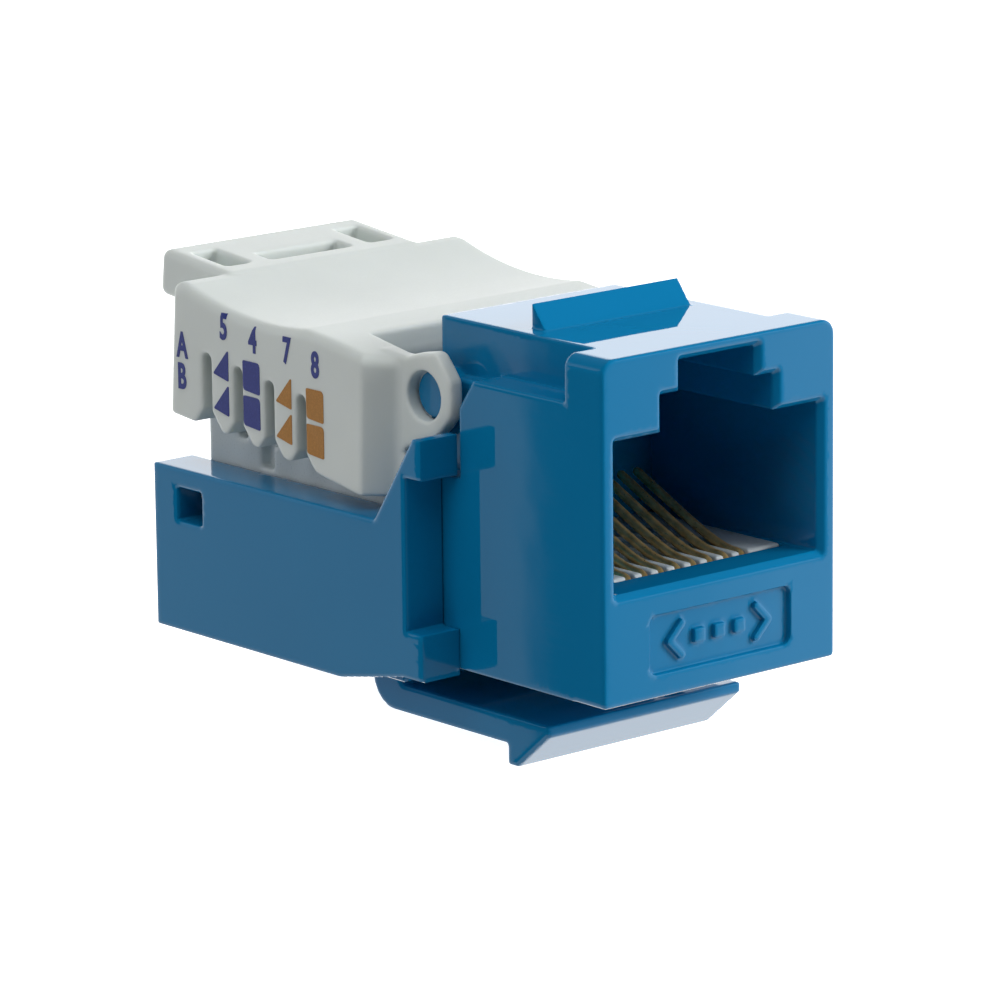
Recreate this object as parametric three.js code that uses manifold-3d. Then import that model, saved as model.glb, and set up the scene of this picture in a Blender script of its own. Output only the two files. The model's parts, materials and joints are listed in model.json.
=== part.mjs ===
// A keystone-format RJ45 jack whose hinged cap presses eight wires onto insulation-displacement contacts.
// Millimetres, +Z up. -Y looks out of the port, +Y runs back to the cable,
// and the side marked 5 4 7 8 faces -X.
// Distances along Y below are measured from the front face; the finished jack is moved forward so that its
// origin lies on the housing's underside, below the upright rear face of the fixed catch.
import * as THREE from "three";
import { mergeVertices } from "three/addons/utils/BufferGeometryUtils.js";
import Module from "manifold-3d";

const wasm = await Module();
wasm.setup();

// Front frame and housing
const FACE = { halfWidth: 7.25, height: 16.2, depth: 2.6, topRadius: 0.9, bottomRadius: 0.6 };
const BODY = {
  rear: 12.9,
  shoulder: 13.95,
  chamferStart: 9,
  chamferEnd: 10.02,
  chamferFoot: 12.5,
  deck: 9.2,
};
const BLOCK = { halfWidth: 5.45, rear: 13.3, lugRear: 14 };
const CHEEK = { halfWidth: 6.2, bottom: 4, top: 13.6 };
const CATCH = { halfWidth: 4.54, front: 6.92, rear: 7.88, height: 1.15 };
const LABEL = { halfWidth: 4.42, bottom: 1.1, top: 3.92, depth: 0.3, radius: 0.45 };

// Plug opening: half widths and levels of its three steps, and the draft of its side walls
const PORT = {
  floor: 5.2,
  wide: 6.35,
  wideTop: 12.33,
  middle: 3.5,
  middleTop: 14.1,
  narrow: 2.35,
  narrowTop: 15.57,
  depth: 12.2,
  rearWide: 5.8,
};
const HOLLOW = { halfWidth: 5.75, front: 2.45, floor: 1 };

// Cap hinge: two bosses on the housing, two ears on the cap
const HINGE = { y: 12.3, z: 12.75, bossRadius: 1.05, bossEnd: 6.75, holeRadius: 1.2, earRadius: 1.95 };
const CAP_REST = THREE.MathUtils.degToRad(6);

// Rear shell
const SHELL = {
  outer: 9.6,
  innerFront: 7.4,
  inner: 7.1,
  innerStep: 14.2,
  front: 10.2,
  recess: 11.2,
  rear: 30.35,
  top: 7,
  bottom: -1.15,
  floorTop: 0.5,
  rearWallTop: 5,
  rearWall: 0.8,
  rail: 6.2,
};
const SHELL_TAB = { top: 11.3, foot: 9.35, crest: 10.63, slopeFoot: 13.48, lowerTop: 2, lowerBottom: -0.25 };
const KEEL = { front: 11.6, rear: 16.3 };
const WINDOW = { front: 26.6, rear: 28.5, bottom: 4.37, top: 6.05 };

// Latch: a root under the shell and the arm that bends from it
const LATCH = { halfWidth: 6.1, root: 15.9, rootRear: 18, gap: 0.3, top: -2.05, bottom: -3.42, tip: 5.2 };
const HOOK = { lipBottom: -2.53, apexFront: 7.45, apexRear: 8.14, apex: -4.42 };

// Terminal base, cap and their shared rows of four wire slots
const ROW = { first: 19.45, pitch: 2.4 };
const BASE = {
  halfWidth: 6.95,
  front: 13.6,
  rear: 29.3,
  bottom: 3.4,
  top: 10.4,
  channel: 3.4,
  channelFloor: 6.4,
};
const BASE_STEP = { rear: 17.4, top: 8.2, earRelief: 6.1, earReliefRear: 15.7 };
const SEAT = { halfThickness: 0.32, clearance: 0.1, gateHalf: 0.4, gateFloor: 8.4 };
const SNAP = { clearance: 0.12, reach: 8.3, crest: 5.25 };
const CAP = {
  outer: 9,
  inner: 7.25,
  earOuter: 7.25,
  armInner: 6.4,
  front: 14.9,
  armFront: 14,
  rear: 29.3,
  notch: 17.9,
  wall: 1.1,
  under: 12.9,
  edge: 0.55,
  edgeDrop: 0.3,
  foot: 7.8,
  armTop: 14.15,
  wallTop: 13.3,
};
const CAP_TOP = { rim: 14.2, rimFront: 28.3, scoop: 13.78, hump: 14.36 };
const EAR = { webFoot: 9, webRear: 15.2, webFront: 13.9, skirtInner: 7.05 };
const PRESSER = { inner: 4.2, halfLength: 0.35, bottom: 10.7 };
const SLOT = { width: 0.78, top: 11.15, tooth: 7.74, taper: 9.35, tipWidth: 0.36 };
const TAB = { halfWidth: 6.15, rear: 34, bottom: 12.05, top: 14.2, radius: 0.5, pocketDepth: 1.1 };

// Carrier, circuit board and metal contacts
const CARRIER = {
  halfWidth: 5.65,
  front: 2.55,
  rear: 12,
  bottom: 3.35,
  slotFloor: 3.72,
  tailFloor: 4.47,
  slotHalf: 0.34,
};
const BOARD = { bottom: 2.1, top: 3.1, front: 7, rear: 28.9, neck: 13.3, neckHalf: 5.55, half: 6.75 };
const WIRE = { radius: 0.22, pitch: 1.02, legZ: 4.05, bendY: 3.3, bendRadius: 0.45, hole: 0.34 };
const SPRING_END = { y: 10.6, z: 7.85 };
const LEG = { evenY: 8.6, oddY: 10.6, turn: 0.5 };
const BLADE = {
  x: 5.5,
  stagger: 0.4,
  thickness: 0.4,
  width: 1.6,
  top: 10,
  shoulder: 3.5,
  slit: 0.24,
  slitDepth: 3.2,
  pin: 0.5,
  hole: 0.48,
};

const ARC_STEPS = 5;
const OVERSHOOT = 1; // how far a cutting tool reaches past the surface it opens
const EMBED = 0.5; // how far joined solids reach into each other
const SIDES = [-1, 1];
const ROWS = [0, 1, 2, 3];
const WIRES = [0, 1, 2, 3, 4, 5, 6, 7];

// ---------- Solids ----------

function solid(geometry) {
  const bare = geometry.clone();
  bare.deleteAttribute("normal");
  bare.deleteAttribute("uv");
  const merged = mergeVertices(bare, 1e-4);
  const vertProperties = new Float32Array(merged.attributes.position.array);
  const triVerts = new Uint32Array(merged.index.array);
  return new wasm.Manifold(new wasm.Mesh({ numProp: 3, vertProperties, triVerts }));
}

function geometryOf(manifold) {
  const mesh = manifold.getMesh();
  const geometry = new THREE.BufferGeometry();
  geometry.setAttribute("position", new THREE.BufferAttribute(new Float32Array(mesh.vertProperties), 3));
  geometry.setIndex(new THREE.BufferAttribute(new Uint32Array(mesh.triVerts), 1));
  const shaded = geometry.toNonIndexed();
  shaded.computeVertexNormals();
  return shaded;
}

function join(...solids) {
  return solids.reduce((total, piece) => total.add(piece));
}

function cut(from, ...tools) {
  return tools.reduce((total, tool) => total.subtract(tool), from);
}

function box(x0, x1, y0, y1, z0, z1) {
  const geometry = new THREE.BoxGeometry(x1 - x0, y1 - y0, z1 - z0);
  geometry.translate((x0 + x1) / 2, (y0 + y1) / 2, (z0 + z1) / 2);
  return solid(geometry);
}

function bothSides(make) {
  return join(make(-1), make(1));
}

// A box between two distances from the middle plane, on one side of it.
function sideBox(side, inner, outer, y0, y1, z0, z1) {
  const [x0, x1] = side < 0 ? [-outer, -inner] : [inner, outer];
  return box(x0, x1, y0, y1, z0, z1);
}

function extrude(shape, depth) {
  return new THREE.ExtrudeGeometry(shape, { depth, bevelEnabled: false, curveSegments: ARC_STEPS });
}

// A (y, z) outline swept along X.
function alongX(outline, x0, x1) {
  const shape = outline instanceof THREE.Shape ? outline : new THREE.Shape(outline);
  const geometry = extrude(shape, x1 - x0);
  const place = new THREE.Matrix4().makeBasis(
    new THREE.Vector3(0, 1, 0),
    new THREE.Vector3(0, 0, 1),
    new THREE.Vector3(1, 0, 0),
  );
  geometry.applyMatrix4(place);
  geometry.translate(x0, 0, 0);
  return solid(geometry);
}

function alongXOnSide(side, outline, inner, outer) {
  return side < 0 ? alongX(outline, -outer, -inner) : alongX(outline, inner, outer);
}

// An (x, z) outline swept along Y from y0 back to y1.
function alongY(outline, y0, y1) {
  const shape = outline instanceof THREE.Shape ? outline : new THREE.Shape(outline);
  const geometry = extrude(shape, y1 - y0);
  geometry.rotateX(Math.PI / 2);
  geometry.translate(0, y1, 0);
  return solid(geometry);
}

// An (x, y) outline swept up Z.
function alongZ(outline, z0, z1) {
  const geometry = extrude(new THREE.Shape(outline), z1 - z0);
  geometry.translate(0, 0, z0);
  return solid(geometry);
}

function points(...pairs) {
  return pairs.map(([a, b]) => new THREE.Vector2(a, b));
}

function roundedRectangle(x0, x1, z0, z1, bottomRadius, topRadius) {
  const shape = new THREE.Shape();
  const quarter = Math.PI / 2;
  shape.absarc(x0 + bottomRadius, z0 + bottomRadius, bottomRadius, 2 * quarter, 3 * quarter, false);
  shape.absarc(x1 - bottomRadius, z0 + bottomRadius, bottomRadius, 3 * quarter, 4 * quarter, false);
  shape.absarc(x1 - topRadius, z1 - topRadius, topRadius, 0, quarter, false);
  shape.absarc(x0 + topRadius, z1 - topRadius, topRadius, quarter, 2 * quarter, false);
  return shape;
}

function pinAlongX(radius, y, z, x0, x1, sides) {
  const geometry = new THREE.CylinderGeometry(radius, radius, x1 - x0, sides);
  geometry.rotateZ(Math.PI / 2);
  geometry.translate((x0 + x1) / 2, y, z);
  return solid(geometry);
}

function pinAlongZ(radius, x, y, z0, z1, sides) {
  const geometry = new THREE.CylinderGeometry(radius, radius, z1 - z0, sides);
  geometry.rotateX(Math.PI / 2);
  geometry.translate(x, y, (z0 + z1) / 2);
  return solid(geometry);
}

function wireX(index) {
  return (index - (WIRES.length - 1) / 2) * WIRE.pitch;
}

function slotY(row) {
  return ROW.first + ROW.pitch * row;
}

function bladeX(side, row) {
  return side * (BLADE.x + (row % 2 === 0 ? -1 : 1) * (BLADE.stagger / 2));
}

// ---------- Front housing ----------

function plugOpening() {
  const outline = points(
    [-PORT.wide, PORT.floor],
    [PORT.wide, PORT.floor],
    [PORT.wide, PORT.wideTop],
    [PORT.middle, PORT.wideTop],
    [PORT.middle, PORT.middleTop],
    [PORT.narrow, PORT.middleTop],
    [PORT.narrow, PORT.narrowTop],
    [-PORT.narrow, PORT.narrowTop],
    [-PORT.narrow, PORT.middleTop],
    [-PORT.middle, PORT.middleTop],
    [-PORT.middle, PORT.wideTop],
    [-PORT.wide, PORT.wideTop],
  );
  const geometry = extrude(new THREE.Shape(outline), PORT.depth + OVERSHOOT);
  geometry.rotateX(Math.PI / 2);
  geometry.translate(0, PORT.depth, 0);
  const position = geometry.attributes.position;
  for (let i = 0; i < position.count; i++) {
    const reach = Math.max(position.getY(i), 0) / PORT.depth;
    const draft = THREE.MathUtils.lerp(1, PORT.rearWide / PORT.wide, reach);
    position.setX(i, position.getX(i) * draft);
  }
  return solid(geometry);
}

function frontHousing() {
  const bezel = alongY(
    roundedRectangle(-FACE.halfWidth, FACE.halfWidth, 0, FACE.height, FACE.bottomRadius, FACE.topRadius),
    0,
    FACE.depth,
  );
  const bodySide = points(
    [FACE.depth - EMBED, 0],
    [BODY.rear, 0],
    [BODY.rear, BODY.deck],
    [BODY.chamferEnd, BODY.deck],
    [BODY.chamferEnd, BODY.chamferFoot],
    [BODY.chamferStart, BODY.shoulder],
    [FACE.depth - EMBED, BODY.shoulder],
  );
  const body = alongX(bodySide, -FACE.halfWidth, FACE.halfWidth);
  const half = BLOCK.halfWidth;
  const wide = CHEEK.halfWidth;
  const block = box(-half, half, FACE.depth - EMBED, BLOCK.rear, BODY.deck, FACE.height);
  const cheeks = box(-wide, wide, BODY.chamferStart, BLOCK.rear, CHEEK.bottom, CHEEK.top);
  const lug = box(-half, half, BLOCK.rear - EMBED, BLOCK.lugRear, BODY.deck, CHEEK.top);
  const bosses = pinAlongX(HINGE.bossRadius, HINGE.y, HINGE.z, -HINGE.bossEnd, HINGE.bossEnd, 24);
  const wedge = points(
    [CATCH.front, FACE.height],
    [CATCH.front, FACE.height - EMBED],
    [CATCH.rear, FACE.height - EMBED],
    [CATCH.rear, FACE.height + CATCH.height],
  );
  const fixedCatch = alongX(wedge, -CATCH.halfWidth, CATCH.halfWidth);
  const label = alongY(
    roundedRectangle(-LABEL.halfWidth, LABEL.halfWidth, LABEL.bottom, LABEL.top, LABEL.radius, LABEL.radius),
    -OVERSHOOT,
    LABEL.depth,
  );
  const hollow = box(
    -HOLLOW.halfWidth,
    HOLLOW.halfWidth,
    HOLLOW.front,
    BLOCK.lugRear + OVERSHOOT,
    HOLLOW.floor,
    PORT.floor + 0.05,
  );
  const shell = join(bezel, body, block, cheeks, lug, bosses, fixedCatch);
  return cut(shell, label, plugOpening(), hollow);
}

// ---------- Rear shell and latch ----------

function shellSide(side) {
  const outline = points(
    [SHELL.front, SHELL_TAB.lowerBottom],
    [KEEL.front, SHELL_TAB.lowerBottom],
    [KEEL.rear, SHELL.bottom],
    [SHELL.rear, SHELL.bottom],
    [SHELL.rear, SHELL.top],
    [SHELL_TAB.slopeFoot, SHELL.top],
    [SHELL_TAB.crest, SHELL_TAB.top],
    [SHELL.front, SHELL_TAB.top],
    [SHELL.front, SHELL_TAB.foot],
    [SHELL.recess, SHELL_TAB.foot],
    [SHELL.recess, SHELL_TAB.lowerTop],
    [SHELL.front, SHELL_TAB.lowerTop],
  );
  const wall = alongXOnSide(side, outline, SHELL.innerFront, SHELL.outer);
  const lining = sideBox(
    side,
    SHELL.inner,
    SHELL.innerFront + EMBED,
    SHELL.innerStep,
    SHELL.rear,
    SHELL.bottom,
    SHELL.top,
  );
  const window = sideBox(
    side,
    SHELL.inner - OVERSHOOT,
    SHELL.outer + OVERSHOOT,
    WINDOW.front,
    WINDOW.rear,
    WINDOW.bottom,
    WINDOW.top,
  );
  return cut(join(wall, lining), window);
}

function latchRoot() {
  const outline = points(
    [LATCH.root, SHELL.bottom + EMBED],
    [LATCH.root, LATCH.bottom],
    [LATCH.rootRear - 1.1, LATCH.bottom],
    [LATCH.rootRear - 0.35, LATCH.bottom + 0.35],
    [LATCH.rootRear, LATCH.bottom + 1.2],
    [LATCH.rootRear, SHELL.bottom + EMBED],
  );
  return alongX(outline, -LATCH.halfWidth, LATCH.halfWidth);
}

function rearShell() {
  const reach = SHELL.innerFront + EMBED;
  const front = BODY.rear + 0.4;
  const floor = box(-reach, reach, front, SHELL.rear, SHELL.bottom, SHELL.floorTop);
  const rearWall = box(
    -reach,
    reach,
    SHELL.rear - SHELL.rearWall,
    SHELL.rear,
    SHELL.bottom,
    SHELL.rearWallTop,
  );
  const rails = bothSides((side) =>
    sideBox(side, SHELL.rail, SHELL.innerFront, front, SHELL.rear, 0, BOARD.bottom - 0.2),
  );
  return join(floor, rearWall, rails, bothSides(shellSide), latchRoot());
}

function latchArm() {
  const end = LATCH.root - LATCH.gap;
  const outline = points(
    [end, LATCH.top],
    [LATCH.tip, LATCH.top],
    [LATCH.tip, HOOK.lipBottom],
    [HOOK.apexFront, HOOK.apex],
    [HOOK.apexRear, HOOK.apex],
    [HOOK.apexRear, LATCH.bottom],
    [end, LATCH.bottom],
  );
  return alongX(outline.reverse(), -LATCH.halfWidth, LATCH.halfWidth);
}

// ---------- Terminal base ----------

function baseRowCuts(side, row) {
  const y = slotY(row);
  const x = bladeX(side, row);
  const half = BLADE.width / 2 + SEAT.clearance;
  const seat = box(
    x - SEAT.halfThickness,
    x + SEAT.halfThickness,
    y - half,
    y + half,
    BASE.bottom - OVERSHOOT,
    BASE.top + OVERSHOOT,
  );
  const wireGate = sideBox(
    side,
    BASE.channel - OVERSHOOT,
    BASE.halfWidth + OVERSHOOT,
    y - SEAT.gateHalf,
    y + SEAT.gateHalf,
    SEAT.gateFloor,
    BASE.top + OVERSHOOT,
  );
  return join(seat, wireGate);
}

function sideSlot(side) {
  const y = slotY(2);
  const inner = BASE.halfWidth - 0.7;
  const outer = BASE.halfWidth + OVERSHOOT;
  return sideBox(side, inner, outer, y, y + 0.95, SHELL.top + 0.2, BASE.top + OVERSHOOT);
}

// A ramped snap that catches in the window of the shell's side wall.
function baseSnap(side) {
  const outline = points(
    [side * (BASE.halfWidth - EMBED), WINDOW.bottom + SNAP.clearance],
    [side * BASE.halfWidth, WINDOW.bottom + SNAP.clearance],
    [side * SNAP.reach, SNAP.crest],
    [side * SNAP.reach, WINDOW.top - SNAP.clearance],
    [side * (BASE.halfWidth - EMBED), WINDOW.top - SNAP.clearance],
  );
  const drawn = side > 0 ? outline : outline.reverse();
  return alongY(drawn, WINDOW.front + SNAP.clearance, WINDOW.rear - SNAP.clearance);
}

function terminalBase() {
  const bulk = box(-BASE.halfWidth, BASE.halfWidth, BASE.front, BASE.rear, BASE.bottom, BASE.top);
  const over = BASE.top + OVERSHOOT;
  const ahead = BASE.front - OVERSHOOT;
  const beside = BASE.halfWidth + OVERSHOOT;
  const channel = box(
    -BASE.channel,
    BASE.channel,
    BASE_STEP.earReliefRear,
    BASE.rear + OVERSHOOT,
    BASE.channelFloor,
    over,
  );
  const frontStep = box(-beside, beside, ahead, BASE_STEP.rear, BASE_STEP.top, over);
  const earRelief = bothSides((side) =>
    sideBox(side, BASE_STEP.earRelief, beside, ahead, BASE_STEP.earReliefRear, BASE.bottom - OVERSHOOT, over),
  );
  const cuts = SIDES.flatMap((side) => ROWS.map((row) => baseRowCuts(side, row)));
  const body = cut(bulk, channel, frontStep, earRelief, ...SIDES.map(sideSlot), ...cuts);
  return join(body, bothSides(baseSnap));
}

// ---------- Wire cap, drawn shut and level ----------

// Top line of the cap from its rear rim through the finger scoop to the hump and the flat front.
function capTopLine() {
  const line = new THREE.SplineCurve(
    points(
      [CAP.rear, CAP_TOP.rim],
      [CAP_TOP.rimFront, CAP_TOP.rim - 0.08],
      [25, CAP_TOP.scoop],
      [22.4, CAP_TOP.scoop + 0.12],
      [20.2, CAP_TOP.hump - 0.06],
      [18.6, CAP_TOP.hump],
    ),
  );
  return line.getPoints(14);
}

function capTop() {
  const underside = points([CAP.notch, CAP_TOP.hump], [CAP.notch, CAP.under], [CAP.rear, CAP.under]);
  const outline = [...capTopLine(), ...underside];
  return alongX(outline, -CAP.outer + CAP.edge, CAP.outer - CAP.edge);
}

function capEdge(side) {
  const drop = (p) => new THREE.Vector2(p.x, p.y - CAP.edgeDrop);
  const foot = CAP.under - 2 * EMBED;
  const underside = points([CAP.front, CAP.armTop - CAP.edgeDrop], [CAP.front, foot], [CAP.rear, foot]);
  const outline = [...capTopLine().map(drop), ...underside];
  return alongXOnSide(side, outline, CAP.inner, CAP.outer);
}

function capArm(side) {
  const plan = points(
    [side * CAP.armInner, CAP.armFront],
    [side * CAP.earOuter, CAP.armFront],
    [side * CAP.outer, CAP.front],
    [side * CAP.outer, CAP.notch + EMBED],
    [side * CAP.armInner, CAP.notch + EMBED],
  );
  return alongZ(side > 0 ? plan : plan.reverse(), CAP.under, CAP.armTop);
}

// One side wall: its lower edge is a comb of wire slots between pointed teeth.
function capWall(side) {
  const plan = points(
    [side * CAP.inner, CAP.armFront],
    [side * (CAP.inner + 0.02), CAP.armFront],
    [side * CAP.outer, CAP.front],
    [side * CAP.outer, CAP.rear],
    [side * CAP.inner, CAP.rear],
  );
  const wall = alongZ(side > 0 ? plan : plan.reverse(), SLOT.tooth, CAP.wallTop);
  return cut(wall, ...ROWS.map((row) => wireSlot(side, row)));
}

// The slots stand upright when the cap is in its rest pose, so they lean when it is drawn shut.
function wireSlot(side, row) {
  const lean = (z) => slotY(row) - (SLOT.top - z) * Math.tan(CAP_REST);
  const half = SLOT.width / 2;
  const mouth = (ROW.pitch - SLOT.tipWidth) / 2;
  const shape = new THREE.Shape();
  const low = SLOT.tooth - EMBED;
  shape.moveTo(lean(low) - mouth, low);
  shape.lineTo(lean(low) + mouth, low);
  shape.lineTo(lean(SLOT.taper) + half, SLOT.taper);
  shape.lineTo(lean(SLOT.top) + half, SLOT.top - half);
  shape.absarc(slotY(row), SLOT.top - half, half, 0, Math.PI, false);
  shape.lineTo(lean(SLOT.taper) - half, SLOT.taper);
  return alongXOnSide(side, shape, CAP.inner - OVERSHOOT, CAP.outer + OVERSHOOT);
}

function capEar(side) {
  const round = pinAlongX(HINGE.earRadius, HINGE.y, HINGE.z, 0, CAP.earOuter - CAP.armInner, 28);
  const web = points(
    [EAR.webFront, EAR.webFoot],
    [EAR.webRear, EAR.webFoot],
    [EAR.webRear, CAP.armTop],
    [HINGE.y, CAP.armTop],
    [HINGE.y - 0.9, HINGE.z - 1.6],
    [EAR.webFront - EMBED, BODY.deck + 0.6],
  );
  const x = side < 0 ? -CAP.earOuter : CAP.armInner;
  const skirt = sideBox(
    side,
    EAR.skirtInner,
    CAP.earOuter,
    EAR.webFront - EMBED,
    EAR.webRear,
    CAP.foot - 0.2,
    EAR.webFoot + EMBED,
  );
  return join(round.translate([x, 0, 0]), alongXOnSide(side, web, CAP.armInner, CAP.earOuter), skirt);
}

function capPresser(side, row) {
  const y = slotY(row);
  const half = PRESSER.halfLength;
  return sideBox(side, PRESSER.inner, CAP.inner + 0.3, y - half, y + half, PRESSER.bottom, CAP.under + 0.2);
}

function tabPocket(x0, x1, y0, y1) {
  return box(x0, x1, y0, y1, TAB.top - TAB.pocketDepth, TAB.top + OVERSHOOT);
}

function capTab() {
  const profile = roundedRectangle(CAP.rear - EMBED, TAB.rear, TAB.bottom, TAB.top, TAB.radius, TAB.radius);
  const bar = alongX(profile, -TAB.halfWidth, TAB.halfWidth);
  const sidePockets = bothSides((side) => {
    const [x0, x1] = side < 0 ? [-5.25, -3.75] : [3.75, 5.25];
    return tabPocket(x0, x1, 30, 32.8);
  });
  return cut(bar, sidePockets, tabPocket(-2.55, 2.55, 29.9, 31.2));
}

function wireCap() {
  const embedded = CAP.under + EMBED;
  const rearHalf = CAP.outer - 0.3;
  const frontHalf = CAP.armInner + EMBED;
  const rearWall = box(-rearHalf, rearHalf, CAP.rear - CAP.wall, CAP.rear, PRESSER.bottom, embedded);
  const frontWall = box(-frontHalf, frontHalf, CAP.notch, CAP.notch + 0.8, 11, embedded);
  const archOutline = roundedRectangle(-3.3, 3.3, 8, 11.9, 0.5, 1.4);
  const cableArch = alongY(archOutline, CAP.rear - 3, CAP.rear + OVERSHOOT);
  const pressers = bothSides((side) => join(...ROWS.map((row) => capPresser(side, row))));
  const sides = bothSides((side) => join(capEdge(side), capArm(side), capWall(side), capEar(side)));
  const whole = join(capTop(), cut(rearWall, cableArch), frontWall, pressers, sides, capTab());
  const holes = pinAlongX(HINGE.holeRadius, HINGE.y, HINGE.z, -CAP.outer, CAP.outer, 24);
  return cut(whole, holes);
}

// ---------- Carrier, board and contacts ----------

function contactCarrier() {
  const half = CARRIER.halfWidth;
  const bed = box(-half, half, CARRIER.front, CARRIER.rear, CARRIER.bottom, PORT.floor);
  return cut(bed, ...WIRES.map(carrierGroove));
}

function carrierGroove(index) {
  const x0 = wireX(index) - CARRIER.slotHalf;
  const x1 = wireX(index) + CARRIER.slotHalf;
  const ahead = CARRIER.front - OVERSHOOT;
  const over = PORT.floor + OVERSHOOT;
  return join(
    box(x0, x1, ahead, CARRIER.rear - 0.6, CARRIER.tailFloor, over),
    box(x0, x1, ahead, legY(index) + 2 * WIRE.radius, CARRIER.slotFloor, over),
    pinAlongZ(WIRE.hole, wireX(index), legY(index), CARRIER.bottom - OVERSHOOT, PORT.floor, 8),
  );
}

// The legs turn down into the board in two staggered rows.
function legY(index) {
  return index % 2 === 0 ? LEG.evenY : LEG.oddY;
}

function boardPlate() {
  const outline = points(
    [-BOARD.neckHalf, BOARD.front],
    [BOARD.neckHalf, BOARD.front],
    [BOARD.neckHalf, BOARD.neck],
    [BOARD.half, BOARD.neck + 0.4],
    [BOARD.half, BOARD.rear],
    [-BOARD.half, BOARD.rear],
    [-BOARD.half, BOARD.neck + 0.4],
    [-BOARD.neckHalf, BOARD.neck],
  );
  const plate = alongZ(outline, BOARD.bottom, BOARD.top);
  const wireHoles = WIRES.map((index) => boardHole(WIRE.hole, wireX(index), legY(index)));
  const pinHoles = SIDES.flatMap((side) =>
    ROWS.map((row) => boardHole(BLADE.hole, bladeX(side, row), slotY(row))),
  );
  return cut(plate, ...wireHoles, ...pinHoles);
}

function boardHole(radius, x, y) {
  return pinAlongZ(radius, x, y, BOARD.bottom - OVERSHOOT, BOARD.top + OVERSHOOT, 8);
}

class YZPath extends THREE.Curve {
  constructor(inner, x) {
    super();
    this.inner = inner;
    this.x = x;
  }
  getPoint(t, target = new THREE.Vector3()) {
    const p = this.inner.getPoint(t);
    return target.set(this.x, p.x, p.y);
  }
}

function wireAlong(path, x, steps) {
  const section = new THREE.Shape();
  section.absarc(0, 0, WIRE.radius, 0, 2 * Math.PI, false);
  const geometry = new THREE.ExtrudeGeometry(section, {
    steps,
    extrudePath: new YZPath(path, x),
    curveSegments: 4,
  });
  return solid(geometry);
}

// The free half of a contact: round the front bend, then up and back to its rounded end.
function contactSpring(index) {
  const centreZ = WIRE.legZ + WIRE.bendRadius;
  const path = new THREE.CurvePath();
  const bend = new THREE.EllipseCurve(
    WIRE.bendY,
    centreZ,
    WIRE.bendRadius,
    WIRE.bendRadius,
    Math.PI * 1.25,
    Math.PI / 2,
    true,
    0,
  );
  const rise = new THREE.CubicBezierCurve(
    new THREE.Vector2(WIRE.bendY, centreZ + WIRE.bendRadius),
    new THREE.Vector2(WIRE.bendY + 2.6, centreZ + WIRE.bendRadius),
    new THREE.Vector2(SPRING_END.y - 3, SPRING_END.z - 1.15),
    new THREE.Vector2(SPRING_END.y, SPRING_END.z),
  );
  path.add(bend);
  path.add(rise);
  return wireAlong(path, wireX(index), 16);
}

// The fixed half: back along its groove, then down through the board.
function contactLeg(index) {
  const front = new THREE.Vector2(WIRE.bendY + 0.1, WIRE.legZ);
  const bendStart = new THREE.Vector2(legY(index) - LEG.turn, WIRE.legZ);
  const corner = new THREE.Vector2(legY(index), WIRE.legZ);
  const bendEnd = new THREE.Vector2(legY(index), WIRE.legZ - LEG.turn);
  const tail = new THREE.Vector2(legY(index), BOARD.bottom - EMBED);
  const path = new THREE.CurvePath();
  path.add(new THREE.LineCurve(front, bendStart));
  path.add(new THREE.QuadraticBezierCurve(bendStart, corner, bendEnd));
  path.add(new THREE.LineCurve(bendEnd, tail));
  return wireAlong(path, wireX(index), 18);
}

// A flat forked blade that stands in the base, with its pin through the board.
function terminalBlade(side, row) {
  const y = slotY(row);
  const half = BLADE.width / 2;
  const slit = BLADE.slit / 2;
  const outline = points(
    [y - half, BLADE.shoulder],
    [y - BLADE.pin / 2, BLADE.shoulder],
    [y - BLADE.pin / 2, BOARD.bottom - 0.7],
    [y + BLADE.pin / 2, BOARD.bottom - 0.7],
    [y + BLADE.pin / 2, BLADE.shoulder],
    [y + half, BLADE.shoulder],
    [y + half, BLADE.top - 0.3],
    [y + half - 0.25, BLADE.top],
    [y + slit + 0.3, BLADE.top],
    [y + slit, BLADE.top - 0.6],
    [y + slit, BLADE.top - BLADE.slitDepth],
    [y - slit, BLADE.top - BLADE.slitDepth],
    [y - slit, BLADE.top - 0.6],
    [y - slit - 0.3, BLADE.top],
    [y - half + 0.25, BLADE.top],
    [y - half, BLADE.top - 0.3],
  );
  const x = bladeX(side, row);
  return alongX(outline, x - BLADE.thickness / 2, x + BLADE.thickness / 2);
}

// ---------- Assembly ----------

function plastic(color, roughness) {
  return new THREE.MeshStandardMaterial({ color, roughness, metalness: 0 });
}

function metal(color, roughness) {
  return new THREE.MeshStandardMaterial({ color, roughness, metalness: 1 });
}

function piece(name, manifold, material) {
  const mesh = new THREE.Mesh(geometryOf(manifold), material);
  mesh.name = name;
  return mesh;
}

function bluePlastic() {
  return plastic(0x1f6fa8, 0.25);
}

function whitePlastic() {
  return plastic(0xe4e8e4, 0.45);
}

function solderMask() {
  return plastic(0x1d6b3a, 0.5);
}

function capGroup() {
  const group = new THREE.Group();
  group.position.set(0, HINGE.y, HINGE.z);
  group.rotation.x = CAP_REST;
  const cap = piece("wire_cap", wireCap().translate([0, -HINGE.y, -HINGE.z]), whitePlastic());
  group.add(cap);
  return group;
}

function goldPlate() {
  return metal(0xd9b56a, 0.3);
}

function tinPlate() {
  return metal(0xc9cbd0, 0.35);
}

function contactGroup() {
  const group = new THREE.Group();
  for (const index of WIRES) {
    group.add(piece(`contact_spring_${index + 1}`, contactSpring(index), goldPlate()));
    group.add(piece(`contact_leg_${index + 1}`, contactLeg(index), goldPlate()));
  }
  return group;
}

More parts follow.
